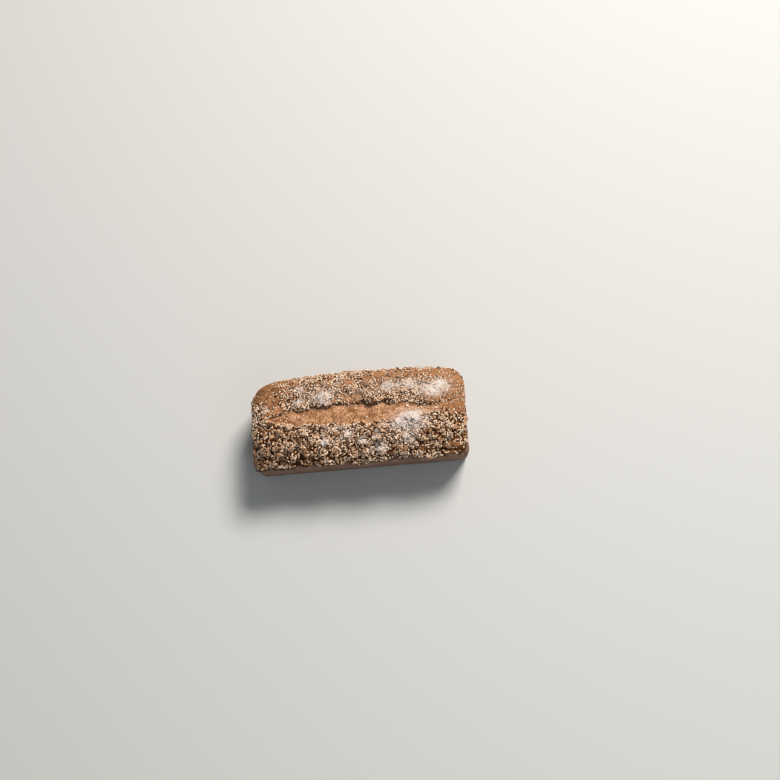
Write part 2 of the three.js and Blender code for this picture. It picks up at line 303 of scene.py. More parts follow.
# Random seeds of the clods, of where the toppings lie and of how they look
CLOD_SEED = 12
PLACES_SEED = 7
LOOKS_SEED = 8


# Shape of the bread

def smoothstep(value, low, high):
    """Smooth rise from 0 at low to 1 at high."""
    share = np.clip((value - low) / (high - low), 0, 1)
    return share * share * (3 - 2 * share)


def lerp(start, end, share):
    """The value that lies the given share of the way from start to end."""
    return start + (end - start) * share


def unit_length(vectors):
    """The same directions, each of length 1."""
    return vectors / np.linalg.norm(vectors, axis=-1, keepdims=True)


def blend(lattice, place):
    """Value of a wrapped cubic lattice between its points, blended along each axis by smoothstep."""
    low = np.floor(place).astype(int)
    part = smoothstep(place - low, 0, 1)
    total = np.zeros(place.shape[:-1])
    for corner in np.ndindex(2, 2, 2):
        weight = np.where(np.array(corner) == 1, part, 1 - part).prod(-1)
        x, y, z = np.moveaxis((low + corner) % lattice.shape, -1, 0)
        total += weight * lattice[x, y, z]
    return total


def grain(points, layers):
    """Smooth noise: for each layer, weighted random values from -1 to 1 on a cubic lattice of its cell."""
    side = 48
    total = np.zeros(points.shape[:-1])
    for weight, cell, seed in layers:
        lattice = np.random.default_rng(seed).uniform(-1, 1, (side, side, side))
        total = total + weight * blend(lattice, points / cell)
    return total


def two_nearest(points, middles):
    """Distances from each point to the nearest and the second nearest of the middles."""
    nearest = np.full(points.shape[:-1], np.inf)
    second = nearest
    for middle in middles:
        away = np.linalg.norm(points - middle, axis=-1)
        second = np.minimum(second, np.maximum(nearest, away))
        nearest = np.minimum(nearest, away)
    return nearest, second


def clods(points, cell):
    """Rounded clods, 1 on their tops and 0 in the gaps between them.

    Each cubic cell holds one random point. The value rises with how much nearer the nearest of these
    points lies than the second nearest.
    """
    side, slope = 32, 0.55
    jitter = np.random.default_rng(CLOD_SEED).random((side, side, side, 3))
    place = points / cell
    low = np.floor(place).astype(int)
    around = (low + step - 1 for step in np.ndindex(3, 3, 3))
    middles = (cells + jitter[tuple(np.moveaxis(cells % side, -1, 0))] for cells in around)
    nearest, second = two_nearest(place, middles)
    return smoothstep(second - nearest, 0, slope)


def spots(points, places):
    """Sum of round bumps: each falls from its strength to 0 as a bell curve of the scaled distance."""
    x, y = points[..., 0], points[..., 1]
    total = np.zeros(x.shape)
    for spot_x, spot_y, reach_x, reach_y, strength in places:
        total += strength * np.exp(-(((x - spot_x) / reach_x) ** 2 + ((y - spot_y) / reach_y) ** 2))
    return total


def rounded_outline(t, length, width, radii):
    """Rectangle with round corners, counterclockwise from +X as four quarters of equal shares of t.

    A quarter goes straight from the middle of an end, round an arc and straight to the middle of a side,
    at an even pace. Every second quarter is the mirror image of that, gone through backwards.
    """
    quarter = np.minimum((4 * t).astype(int), 3)
    way = 4 * t - quarter
    way = np.where(quarter % 2 == 0, way, 1 - way)
    radius = np.asarray(radii)[quarter]
    rise = width / 2 - radius
    run = length / 2 - radius
    bend = radius * np.pi / 2
    gone = way * (rise + bend + run)
    angle = np.clip((gone - rise) / radius, 0, np.pi / 2)
    x = run + radius * np.cos(angle) - np.clip(gone - rise - bend, 0, None)
    y = np.clip(gone, None, rise) + radius * np.sin(angle)
    x *= np.array([1, -1, -1, 1])[quarter]
    y *= np.array([1, 1, -1, -1])[quarter]
    return np.stack([x, y], -1)


def shoulder(t, shape):
    """Widest outline of the dome: a rounded rectangle with a slanted +X end.

    Its +Y side falls back with the square of x, more to the -X end.
    """
    plan = rounded_outline(t, shape.length, shape.width, list(shape.corners))
    side = np.clip(plan[..., 1] / (shape.width / 2), 0, 1)
    along = plan[..., 0] / (shape.length / 2)
    plan[..., 0] += shape.end_slant * plan[..., 1] * np.clip(along, 0, None)
    plan[..., 1] -= np.where(along > 0, *shape.bow) * side * along ** 2
    return plan


def split_place(t, shape, split):
    """Place along the split and reach across it from -1 to 1, from the angle of the plain outline."""
    plan = rounded_outline(t, shape.length, shape.width, [shape.plain_corner] * 4)
    angle = np.arctan2(plan[..., 1] / (split.spread * shape.width), plan[..., 0] / shape.length)
    across = np.sin(angle)
    x = split.middle + split.length / 2 * np.cos(angle)
    return x, np.sign(across) * np.abs(across) ** split.pointed


def split_line(x, split):
    """The line along the middle of the split: straight, at a slant."""
    return split.offset + split.slant * x


def tear(x, side, split):
    """Waves in the torn lips: a long and a short sine of x that differ on the two sides."""
    long_share, short_share, shorter = 0.6, 0.5, 2.3
    wave = 2 * np.pi * x / split.tear_wave
    long_wave = long_share * np.sin(wave + side)
    return split.tear_depth * (long_wave + short_share * np.sin(shorter * wave - 2 * side))


def lip(t, shape, split):
    """Torn edge of the split: a long lens of uneven half width, less where a blister bulges over it."""
    x, reach = split_place(t, shape, split)
    middle = split_line(x, split)
    bulge = split.bulge * blisters(x, middle + split.width / 2 * reach)
    half = split.width / 2 + tear(x, np.sign(reach), split) - bulge
    return np.stack([x, middle + half * reach], -1)


def top_height(x, shape):
    """Height of the top along the loaf: a parabola that falls to the ends."""
    return shape.height - shape.arch * (x / (shape.length / 2)) ** 2


def lumps(x, y, shape):
    """Lumps in the dough: crossed sine waves, each shorter and shallower than the one before."""
    total = np.zeros(np.shape(x))
    for i in range(shape.lump_waves):
        share = shape.lump_shrink ** i
        heading = i * GOLDEN_ANGLE
        along = x * math.cos(heading) + y * math.sin(heading)
        phase = 2 * np.pi * along / (shape.lump_length * share) + i * heading
        total += shape.lump_depth * share * np.sin(phase)
    return total


def blisters(x, y):
    """Round swellings that fall smoothly to nothing at their radius."""
    total = np.zeros(np.shape(x))
    for place_x, place_y, radius, height in BLISTERS:
        away = np.hypot(x - place_x, y - place_y) / radius
        total += height * (1 - smoothstep(away, 0, 1))
    return total


def folds(x, y):
    """Depth of the folds: each is a groove along a line, with a bell curve for its section."""
    total = np.zeros(np.shape(x))
    for start_x, start_y, end_x, end_y, width, depth in FOLDS:
        run = np.array([end_x - start_x, end_y - start_y])
        along = np.clip(((x - start_x) * run[0] + (y - start_y) * run[1]) / (run @ run), 0, 1)
        away = np.hypot(x - start_x - along * run[0], y - start_y - along * run[1])
        total += depth * np.exp(-((away / width) ** 2))
    return total


def kept_apart(points, distance):
    """Numbers of the points that lie at least that distance from all those kept before them."""
    kept = []
    for i, point in enumerate(points):
        if not kept or np.linalg.norm(points[kept] - point, axis=-1).min() > distance:
            kept.append(i)
    return kept


def even_spread(count):
    """Evenly spread pairs of numbers from 0 to 1, by multiples of the plastic ratio."""
    order = np.arange(count)
    return (0.5 + order / PLASTIC_RATIO) % 1, (0.5 + order / PLASTIC_RATIO ** 2) % 1


def crag_height(points, shape, split):
    """Crags at the solid's places, with narrow gaps between them and clods on them, from about -1 to 1.

    A crag falls by smoothstep from its middle to its foot. A gap runs where two middles are about as near.
    """
    places_tried = 1600
    gap_width, gap_depth, clod_height = 0.3, 0.25, 0.6
    tried = arch(*even_spread(places_tried), shape, split)[0]
    middles = tried[kept_apart(tried, shape.crag_spacing)]
    nearest, second = two_nearest(points, middles)
    gaps = 1 - smoothstep(second - nearest, 0, gap_width * shape.crag_reach)
    crags = 0.5 - smoothstep(nearest, 0, shape.crag_reach)
    return crags - gap_depth * gaps + clod_height * (clods(points, shape.clod_size) - 0.5)


def near_side(points, split):
    """1 on the near side of the split and 0 on the far side, with a smooth change between them."""
    start, end = -0.004, 0.012
    return smoothstep(split_line(points[..., 0], split) - points[..., 1], start, end)


def bareness(points):
    """Share of the seeds that is missing."""
    return np.clip(spots(points, SPARSE), 0, 1)


def ruggedness(points, split):
    """How craggy the crust is: most on the near side, less on the far side and on bare places."""
    far_share, bare_loss = 0.55, 0.6
    return lerp(far_share, 1.0, near_side(points, split)) * (1 - bare_loss * bareness(points))


def arch(t, rise, shape, split):
    """Smooth arch from the shoulder, at rise 0, to the split's lip, at rise 1, and its outward direction.

    The plan moves inward by one less a power of the cosine and the height goes up by the sine.
    """
    t, rise = np.broadcast_arrays(t, rise)
    angle = rise * np.pi / 2
    foot = shoulder(t, shape)
    edge = lip(t, shape, split)
    inward = 1 - np.clip(np.cos(angle), 0, 1) ** shape.fullness
    plan = lerp(foot, edge, inward[..., None])
    z = lerp(shape.shoulder_height, top_height(plan[..., 0], shape), np.sin(angle))
    out = unit_length(foot - edge)
    out = np.concatenate([out * np.cos(angle)[..., None], np.sin(angle)[..., None]], -1)
    return np.concatenate([plan, z[..., None]], -1), out


def dome(t, rise, shape, split):
    """Dome of the loaf: the arch, with lumps, blisters, crags, grain and folds pushed out or in."""
    full_swell = 0.3
    no_crags, full_crags = -0.04, 0.12
    points, out = arch(t, rise, shape, split)
    x, y = points[..., 0], points[..., 1]
    swell = (lumps(x, y, shape) + blisters(x, y)) * smoothstep(rise, 0, full_swell)
    crags = shape.crag_depth * crag_height(points, shape, split) * ruggedness(points, split)
    crags = crags + shape.grain_depth * grain(points, GRAIN)
    swell = swell + crags * smoothstep(rise, no_crags, full_crags) - folds(x, y)
    return points + out * swell[..., None]


def dome_normal(t, rise, shape, split):
    """Outward direction of the dome, from the cross product of its two slopes over a seed's length."""
    step_t, step_rise = 0.002, 0.015
    around = dome((t + step_t) % 1, rise, shape, split) - dome((t - step_t) % 1, rise, shape, split)
    up = dome(t, np.minimum(rise + step_rise, 1), shape, split) - dome(t, rise - step_rise, shape, split)
    return unit_length(np.cross(around, up))


def tin_row(t, height, inset, shape):
    """One level of the tin's shape: a rounded rectangle that widens with height, drawn in by the inset.

    Its corners change towards the dome's with the square of the height.
    """
    corner_change = 0.7
    rise = height / shape.rim_height
    length = lerp(shape.base_length, shape.rim_length, rise) - 2 * inset
    width = lerp(shape.base_width, shape.rim_width, rise) - 2 * inset
    corners = lerp(np.array(shape.tin_corners), np.array(shape.corners), corner_change * rise ** 2)
    plan = rounded_outline(t, length, width, corners - inset / 2) + np.array(shape.tin_middle)
    return np.column_stack([plan, np.full(len(t), height)])


def base_rows(t, shape):
    """The flat base: the foot of the sides shrunk in steps to a line along its middle."""
    foot = tin_row(t, 0, shape.edge_radius, shape)
    line = np.zeros_like(foot)
    reach = (shape.base_length - shape.base_width) / 2
    line[:, 0] = shape.tin_middle[0] + reach * np.cos(2 * np.pi * t)
    line[:, 1] = shape.tin_middle[1]
    return [lerp(line, foot, share) for share in (0, 0.35, 0.7)]


def side_rows(t, shape):
    """Edge, sides and groove left by the tin: a quarter circle, a straight slope and a shallow pinch.

    Slight dents push the sides out or in.
    """
    edge_count, side_count, dent_depth = 7, 15, 0.0005
    rows = []
    for angle in np.linspace(0, np.pi / 2, edge_count):
        inset = shape.edge_radius * (1 - math.sin(angle))
        rows.append(tin_row(t, shape.edge_radius * (1 - math.cos(angle)), inset, shape))
    top = shape.rim_height - shape.crease_height
    for height in np.linspace(shape.edge_radius, top, side_count)[1:]:
        rows.append(tin_row(t, height, 0, shape))
    crease = tin_row(t, shape.rim_height, shape.crease_depth, shape)
    rows += [lerp(rows[-1], crease, 0.5), crease]
    grid = np.array(rows)
    out = unit_length((grid - [*shape.tin_middle, 0]) * [1, 1, 0])
    fade = smoothstep(grid[..., 2], shape.edge_radius, 2 * shape.edge_radius)
    grid += out * (dent_depth * grain(grid, DENTS) * fade)[..., None]
    return list(grid)


def roll_rows(t, crease, shape, split):
    """Dough that rolled over the rim: a quarter ellipse from the groove out to the shoulder."""
    roll_count = 7
    foot = dome(t, np.zeros(len(t)), shape, split)
    rows = []
    for angle in np.linspace(0, np.pi / 2, roll_count)[1:-1]:
        row = lerp(crease, foot, math.sin(angle))
        row[:, 2] = lerp(crease[:, 2], foot[:, 2], 1 - math.cos(angle))
        rows.append(row)
    return rows


def band_opening(reach):
    """How far the split is open along its middle: not at all at its tips."""
    shut, open_wide = 0.02, 0.5
    return smoothstep(np.abs(reach), shut, open_wide)


def lip_opening(x, reach):
    """How far the split is open along its lips: less at the far lip's right end."""
    closing_start, closing_end, closed_share = 0.025, 0.07, 0.65
    closing = closed_share * smoothstep(x, closing_start, closing_end) * (reach > 0)
    return band_opening(reach) * (1 - closing)


def lip_row(t, way, shape, split):
    """One level of the torn lip, from the dome's edge at way 0 to the band at way 1.

    It bulges over the band and then, on the far side, falls back under itself. Clumps roughen it.
    """
    near_share, bulge, bulge_turn, steepness = -0.4, 0.6, 0.9, 1.4
    clump_depth, clump_height = 0.0011, 0.003
    x, reach = split_place(t, shape, split)
    edge = dome(t, np.ones(len(t)), shape, split)
    far = reach > 0
    opening = lip_opening(x, reach)
    overhang = np.where(far, split.overhang, near_share * split.overhang) * opening
    floor = top_height(x, shape) - np.where(far, split.far_lip, split.near_lip)
    clumps = grain(edge + [0, 0, clump_height * way], CLUMPS)
    rough = clump_depth * clumps * opening * math.sin(math.pi * way)
    curl = overhang * (bulge * math.sin(bulge_turn * math.pi * way) - way ** 2) + rough
    y = edge[:, 1] - np.sign(reach) * curl
    z = lerp(edge[:, 2], floor, opening * way ** steepness)
    return np.column_stack([x, y, z])


def split_rows(t, shape, split, lip_count, band_count):
    """The torn lip, then the bare band, which closes to the split's line.

    The band is lower along the lips than along its middle, and comes up level with the dome towards the
    tips. There both sides meet at their mean height. Crumbs roughen the band.
    """
    crumb_depth, crumb_start, rise_start = 0.0009, 0.25, -0.3
    x, reach = split_place(t, shape, split)
    rows = [lip_row(t, way, shape, split) for way in np.linspace(0, 1, lip_count + 1)]
    edge, foot = rows[0], rows[-1]
    opening = lip_opening(x, reach)
    open_middle = band_opening(reach)
    drop_lip = np.where(reach > 0, split.far_lip, split.near_lip)
    drop_middle = (split.far_lip + split.near_lip) / 2 - split.band_rise
    other_edge = dome((1 - t) % 1, np.ones(len(t)), shape, split)
    mean_height = (edge[:, 2] + other_edge[:, 2]) / 2
    for way in np.linspace(0, 1, band_count + 1)[1:]:
        floor = top_height(x, shape) - lerp(drop_lip, drop_middle, smoothstep(way, rise_start, 1))
        closed = lerp(edge[:, 2], mean_height, way)
        z = lerp(closed, floor, lerp(opening, open_middle, smoothstep(way, 0, 1)))
        row = np.column_stack([x, lerp(foot[:, 1], split_line(x, split), way), z])
        row[:, 2] += crumb_depth * grain(row, CRUMBS) * open_middle * smoothstep(way, 0, crumb_start)
        rows.append(row)
    return rows[1:]


# Meshes

def new_piece(name, mesh, material):
    """Object at the origin with one material, riding on the loaf's only body."""
    piece = bpy.data.objects.new(name, mesh)
    bpy.context.scene.collection.objects.link(piece)
    mesh.materials.append(material)
    mesh.shade_smooth()
    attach(piece, "root")
    return piece


def set_values(mesh, name, values):
    """Stores one number for each vertex under that name."""
    layer = mesh.attributes.new(name, "FLOAT", "POINT")
    layer.data.foreach_set("value", np.ravel(values).astype(np.float32))


def set_map(mesh, places):
    """Stores one texture place for each corner of the faces, in the map named OFBake."""
    mesh.uv_layers.new(name="OFBake").uv.foreach_set("vector", places.astype(np.float32).ravel())


def grid_faces(rows, columns):
    """Quads between neighbouring rows of a grid that closes on itself along its columns."""
    row, column = np.meshgrid(np.arange(rows - 1), np.arange(columns), indexing="ij")
    here = row * columns + column
    beside = row * columns + (column + 1) % columns
    return np.stack([here, beside, beside + columns, here + columns], -1).reshape(-1, 4)


def grid_map(rows, columns):
    """Texture places for those quads: the column across and the row up, with a seam at the last column."""
    row, column = np.meshgrid(np.arange(rows - 1), np.arange(columns), indexing="ij")
    across = np.stack([column, column + 1, column + 1, column], -1) / columns
    up = np.stack([row, row, row + 1, row + 1], -1) / (rows - 1)
    return np.stack([across, up], -1).reshape(-1, 2)


def weld(mesh):
    """Merges points that lie in one place, which closes the poles and the split's line."""
    one_place = 1e-6
    work = bmesh.new()
    work.from_mesh(mesh)
    bmesh.ops.remove_doubles(work, verts=work.verts, dist=one_place)
    work.to_mesh(mesh)
    work.free()


def unit_seed(around, levels, taper, wobble=0.0, bend=0.0):
    """A seed of unit size: a flattened ball whose plan narrows to one end.

    Round angle a and polar angle p give x = sin p cos a, y = sin p sin a (1 - taper cos a) and z = cos p.
    A flake's plan also wobbles with sines of 2a and 3a, and it bends like a saddle. The first point is the
    top. The buried end is closed by one flat face.
    """
    lowest = 0.72 * np.pi
    map_radius = 0.48
    polar = np.linspace(0, lowest, levels + 1)[1:, None]
    angle = np.arange(around)[None] * 2 * np.pi / around
    reach = np.sin(polar) * (1 + wobble * (np.sin(2 * angle + 1) + 0.7 * np.sin(3 * angle + 2)))
    x = reach * np.cos(angle)
    y = reach * np.sin(angle) * (1 - taper * np.cos(angle))
    z = np.cos(polar) + bend * (x ** 2 - y ** 2)
    points = np.concatenate([[[0, 0, 1]], np.stack([x, y, z], -1).reshape(-1, 3)]) / 2
    first = np.arange(around)
    fan = np.stack([np.zeros(around, int), 1 + first, 1 + (first + 1) % around], -1)
    quads = grid_faces(levels, around)[:, ::-1] + 1
    cap = 1 + (levels - 1) * around + first[::-1]
    radius = np.concatenate([[0], np.repeat(np.arange(1, levels + 1) / levels, around)])
    turn = np.concatenate([[0], np.tile(angle[0], levels)])
    places = 0.5 + map_radius * np.stack([radius * np.cos(turn), radius * np.sin(turn)], -1)
    return points, [fan, quads, cap[None]], places


def seed_frames(normals, spin, tilt):
    """Turning matrices that lay seeds on the crust: Z along the tilted normal, X turned about it."""
    normals = unit_length(normals + tilt)
    side = unit_length(np.cross(normals, [0.0, 1.0, 0.0]))
    ahead = np.cross(normals, side)
    along = side * np.cos(spin)[:, None] + ahead * np.sin(spin)[:, None]
    across = np.cross(normals, along)
    return np.stack([along, across, normals], -1)


def seeds_mesh(name, form, middles, frames, sizes, shade, flour):
    """One mesh of many seeds: the unit form stretched, turned and moved for each.

    Each seed has a square cell of its own in the texture map.
    """
    points, face_kinds, places = form
    count = len(middles)
    shaped = points[None] * sizes[:, None]
    placed = np.einsum("sij,spj->spi", frames, shaped) + middles[:, None]
    first = np.arange(count)[:, None, None] * len(points)
    faces = []
    for kind in face_kinds:
        faces += (kind[None] + first).reshape(-1, kind.shape[1]).tolist()
    mesh = bpy.data.meshes.new(name)
    mesh.from_pydata(placed.reshape(-1, 3), [], faces)
    set_values(mesh, "shade", np.repeat(shade, len(points)))
    set_values(mesh, "flour", np.repeat(flour, len(points)))
    cells = math.ceil(math.sqrt(count))
    corner = np.stack([np.arange(count) % cells, np.arange(count) // cells], -1)
    spread = ((corner[:, None] + places[None]) / cells).reshape(-1, 2)
    vertex = np.empty(len(mesh.loops), np.int32)
    mesh.loops.foreach_get("vertex_index", vertex)
    set_map(mesh, spread[vertex])
    return mesh


# Finishes

class Finish:
    """A material under construction, with short calls for the nodes that it needs."""

    def __init__(self, name, roughness, shine):
        self.material = bpy.data.materials.new(name)
        self.material.use_nodes = True
        self.tree = self.material.node_tree
        self.shader = self.tree.nodes["Principled BSDF"]
        self.put(self.shader.inputs["Roughness"], roughness)
        self.put(self.shader.inputs["Specular IOR Level"], shine)
        self.place = self.node("TexCoord", "Object", {})

    def put(self, socket, value):
        """Links an output to a socket, or sets a constant on it."""
        if isinstance(value, bpy.types.NodeSocket):
            self.tree.links.new(value, socket)
        elif hasattr(value, "__len__"):
            socket.default_value = (*value, 1.0)
        else:
            socket.default_value = value

    def node(self, kind, output, inputs, **settings):
        """Adds a node with those settings and inputs, and gives one of its outputs."""
        node = self.tree.nodes.new("ShaderNode" + kind)
        for name, value in settings.items():
            setattr(node, name, value)
        for socket, value in inputs.items():
            self.put(node.inputs[socket], value)
        return node.outputs[output]

    def value(self, name):
        """A number stored on the mesh."""
        return self.node("Attribute", "Fac", {}, attribute_name=name)

    def noise(self, scale, detail=3.0):
        """Noise in object space, from 0 to 1, with about that many waves to the metre."""
        return self.node("TexNoise", "Fac", {"Vector": self.place, "Scale": scale, "Detail": detail})

    def ramp(self, value, low, high):
        """Maps a value to 0 at low and 1 at high, smoothly."""
        inputs = {"Value": value, "From Min": low, "From Max": high}
        return self.node("MapRange", "Result", inputs, interpolation_type="SMOOTHSTEP")

    def specks(self, scale, low, high):
        """Small spots: 1 where a noise of that scale is over high, 0 where it is under low."""
        return self.ramp(self.noise(scale, 1.0), low, high)

    def total(self, *terms):
        """Sum of the terms, each a value and its weight."""
        result = 0.0
        for value, weight in terms:
            inputs = {0: value, 1: weight, 2: result}
            result = self.node("Math", "Value", inputs, operation="MULTIPLY_ADD")
        return result

    def mix(self, share, first, second):
        """A colour the given share of the way from first to second."""
        return self.node("Mix", 2, {"Factor": share, 6: first, 7: second}, data_type="RGBA")

    def dusted(self, base, flour):
        """The base colour under flour, which lies in clots, or nearly all over where there is much."""
        thin, thick, full_cover = 1.15, 1.8, 0.92
        amount = self.total((self.value("flour"), 1), (self.noise(800, 2.0), 1.4), (self.noise(210), 0.5))
        return self.mix(self.total((self.ramp(amount, thin, thick), full_cover)), base, flour)

    def bump(self, height, distance):
        """Fine relief on the surface, in metres."""
        normal = self.node("Bump", "Normal", {"Height": height, "Distance": distance})
        self.put(self.shader.inputs["Normal"], normal)

    def colour(self, value):
        """Sets the surface colour."""
        self.put(self.shader.inputs["Base Color"], value)


def dome_colour(finish, colours):
    """Dome of the crust: by the tone stored on the mesh, painted shade included, made uneven, with dark
    specks.
    """
    tone = finish.total(
        (finish.value("tone"), 1),
        (finish.noise(95), 0.7),
        (finish.noise(520, 4.0), 0.7),
        (finish.specks(800, 0.54, 0.66), -0.65),
    )
    return finish.mix(finish.ramp(tone, 0.3, 1.15), colours.crust_dark, colours.crust_light)


def band_colour(finish, colours):
    """Bare band in the split: tan in soft patches, with dark pits."""
    soft = finish.total((finish.noise(110), 1), (finish.noise(480), 0.8))
    tone = finish.total((finish.ramp(soft, 0.58, 1.12), 1), (finish.specks(760, 0.54, 0.66), -1))
    return finish.mix(tone, colours.band_dark, colours.band_light)


def side_colour(finish, colours):
    """Sides from the tin: a dull mottled brown, with small pores."""
    mottle = finish.total((finish.noise(48), 1), (finish.noise(300, 4.0), 0.6))
    tone = finish.total((finish.ramp(mottle, 0.4, 1.15), 1), (finish.specks(950, 0.58, 0.68), -0.5))
    return finish.mix(tone, colours.side_dark, colours.side_light)


def crust_finish(colours):
    """Baked crust: the colours of dome, band and sides by the shares stored on the mesh, under flour."""
    finish = Finish("crust", roughness=0.85, shine=0.05)
    base = finish.mix(finish.value("band"), dome_colour(finish, colours), band_colour(finish, colours))
    base = finish.mix(finish.value("side"), base, side_colour(finish, colours))
    finish.colour(finish.dusted(base, colours.flour))
    finish.bump(finish.noise(850, 4.0), distance=0.0006)
    return finish.material


def seed_finish(name, shades, flour, roughness):
    """Seeds of one kind: each has its own shade between three colours, mottled a little, under flour."""
    finish = Finish(name, roughness, shine=0.15)
    shade = finish.total((finish.value("shade"), 1), (finish.noise(420), 0.4))
    base = finish.mix(finish.ramp(shade, 0.58, 1.1), shades[0], shades[1])
    base = finish.mix(finish.ramp(shade, 1.1, 1.35), base, shades[2])
    finish.colour(finish.dusted(base, flour))
    return finish.material


# Pieces

class Places(NamedTuple):
    """Where seeds lie: their points, the crust's outward directions there, and their turns."""

    points: np.ndarray
    normals: np.ndarray
    spin: np.ndarray

    def keep(self, chosen):
        """The chosen ones of these places."""
        return Places(*(values[chosen] for values in self))

    def clear_of(self, others, distance):
        """Those that lie at least that distance from all the other points."""
        away = np.linalg.norm(self.points[:, None] - others[None], axis=-1).min(1)
        return self.keep(away > distance)

    def sunk(self, depth):
        """The same places, that depth inside the crust."""
        return self._replace(points=self.points - depth * self.normals)

    def joined(self, others):
        """These places and the others."""
        return Places(*(np.concatenate(pair) for pair in zip(self, others)))


def dome_places(t, rise, spin, shape, split):
    """Places on the dome with those turns."""
    return Places(dome(t, rise, shape, split), dome_normal(t, rise, shape, split), spin)


def one_per_cell(points, cell):
    """Numbers of the points that are the first in their cubic cell."""
    return np.unique(np.floor(points / cell).astype(int), axis=0, return_index=True)[1]


def seed_line(t):
    """Lowest place of the seeds up the dome: a wavy line, higher on the near side but for a dip there."""
    far_line, near_line = 0.09, 0.19
    dip_depth, dip_place, dip_reach = 0.09, 0.738, 0.03
    turn_start, turn_end = 0.3, -0.5
    waves = ((0.035, 17, 0), (0.025, 39, 1))
    near = smoothstep(np.sin(2 * np.pi * t), turn_start, turn_end)
    line = lerp(far_line, near_line, near) - dip_depth * np.exp(-((t - dip_place) / dip_reach) ** 2)
    for height, count, phase in waves:
        line = line + height * np.sin(2 * np.pi * count * t + phase)
    return line


def seed_share(points, split, crags):
    """Share of seeds that stay: less between patches, in gaps and folds, and on bare places."""
    patch_share, far_gap_share, near_gap_share = 0.6, 0.6, 0.38
    blister_gain, fold_gain = 350, 900
    patch_low, patch_high, gap_low, gap_high = -0.7, 0.2, -0.7, 0.0
    x, y, _ = points.T
    patches = grain(points, SEED_PATCHES) + blister_gain * blisters(x, y)
    patchy = smoothstep(patches, patch_low, patch_high)
    raised = smoothstep(crags, gap_low, gap_high) * (1 - np.clip(fold_gain * folds(x, y), 0, 1))
    in_gaps = lerp(far_gap_share, near_gap_share, near_side(points, split))
    return lerp(patch_share, 1, patchy) * lerp(in_gaps, 1, raised) * (1 - bareness(points))


def sow(rng, shape, split, tries, cell, share, above):
    """Seeds at random places on the dome, one in each cubic cell.

    Of these a share is kept, and none lower than the given height above the seed line.
    """
    top_favour, line_start, line_end = 0.8, -0.02, 0.03
    t = rng.random(tries)
    rise = rng.random(tries) ** top_favour
    points = dome(t, rise, shape, split)
    first = one_per_cell(points, cell)
    t, rise, points = t[first], rise[first], points[first]
    share = share * seed_share(points, split, crag_height(points, shape, split))
    share = share * smoothstep(rise - seed_line(t) - above, line_start, line_end)
    chosen = rng.random(len(t)) < share
    spin = rng.uniform(0, 2 * np.pi, chosen.sum())
    return dome_places(t[chosen], rise[chosen], spin, shape, split)


def strays(rng, shape, split, cell):
    """Seeds on the torn lips, and a few on the band, most of them where the far lip closes.

    They lie at random points of the split's rows, one in each cubic cell. They face up and out of the lip.
    """
    tries, lip_count, band_count = 3000, 6, 9
    far_share, near_share, band_share, closing_share = 0.4, 0.3, 0.03, 0.35
    closing_start, closing_end, lip_fade = 0.02, 0.06, 0.3
    t = rng.random(tries)
    x, reach = split_place(t, shape, split)
    rows = np.array(split_rows(t, shape, split, lip_count, band_count))
    row = rng.integers(0, len(rows), tries)
    points = rows[row, np.arange(tries)]
    on_lip = 1 - smoothstep(row, lip_fade * lip_count, lip_count)
    closing = smoothstep(x, closing_start, closing_end) * (reach > 0)
    on_band = lerp(band_share, closing_share, closing)
    share = lerp(on_band, np.where(reach > 0, far_share, near_share), on_lip)
    lean = np.column_stack([np.zeros(tries), -np.sign(reach) * on_lip, np.ones(tries)])
    places = Places(points, unit_length(lean), rng.uniform(0, 2 * np.pi, tries))
    places = places.keep(rng.random(tries) < share)
    return places.keep(one_per_cell(places.points, cell))


def even_kernels(count, length, shape, split):
    """Kernels spread evenly as in the solid, clear of each other and of the bare corners."""
    gap, tries, lowest, highest = 0.0015, 4, 0.17, 0.9
    t, share = even_spread(tries * count)
    rise = lerp(lowest, highest, np.sqrt(share))
    points = dome(t, rise, shape, split)
    away = [np.hypot(points[:, 0] - x, points[:, 1] - y) - reach for x, y, reach in BARE_CORNERS]
    seeded = np.flatnonzero(np.min(away, 0) > 0)
    laid = seeded[kept_apart(points[seeded], length + gap)][:count]
    return dome_places(t[laid], rise[laid], laid * GOLDEN_ANGLE, shape, split)


def large_kernels(shape, split):
    """Kernels at chosen places: for each, the point of a fine grid over the dome nearest in plan."""
    columns, rows, highest = 500, 100, 0.99
    sides = np.meshgrid(np.arange(columns) / columns, np.linspace(0, highest, rows))
    t, rise = [side.ravel() for side in sides]
    points = dome(t, rise, shape, split)
    wanted = np.array(LARGE_KERNELS)
    chosen = [np.argmin(np.hypot(*(points[:, :2] - place).T)) for place in wanted[:, :2]]
    return dome_places(t[chosen], rise[chosen], np.radians(wanted[:, 2]), shape, split)


def seed_places(shape, split, seeds):
    """Places of the seeds by kind: flakes and linseeds clear of all kernels, sesame of the large ones."""
    flake_tries, linseed_tries, sesame_tries = 16000, 20000, 120000
    rng = np.random.default_rng(PLACES_SEED)
    large = large_kernels(shape, split)
    even = even_kernels(seeds.kernels, seeds.kernel[0], shape, split)
    kernels = large.joined(even.clear_of(large.points, distance=0.006).sunk(depth=0.0011))
    flakes = sow(rng, shape, split, flake_tries, seeds.flake_cell, share=1.0, above=0.06)
    flakes = flakes.clear_of(kernels.points, distance=0.005)
    flakes = flakes.keep(rng.random(len(flakes.spin)) < ruggedness(flakes.points, split) ** 2)
    linseed = sow(rng, shape, split, linseed_tries, seeds.linseed_cell, share=0.8, above=0.0)
    linseed = linseed.clear_of(kernels.points, distance=0.003)
    sesame = sow(rng, shape, split, sesame_tries, seeds.sesame_cell, share=0.95, above=0.0)
    sesame = sesame.joined(strays(rng, shape, split, cell=0.003))
    sesame = sesame.clear_of(large.points, distance=0.0034)
    return {"kernels": kernels, "flakes": flakes, "linseed": linseed, "sesame": sesame}


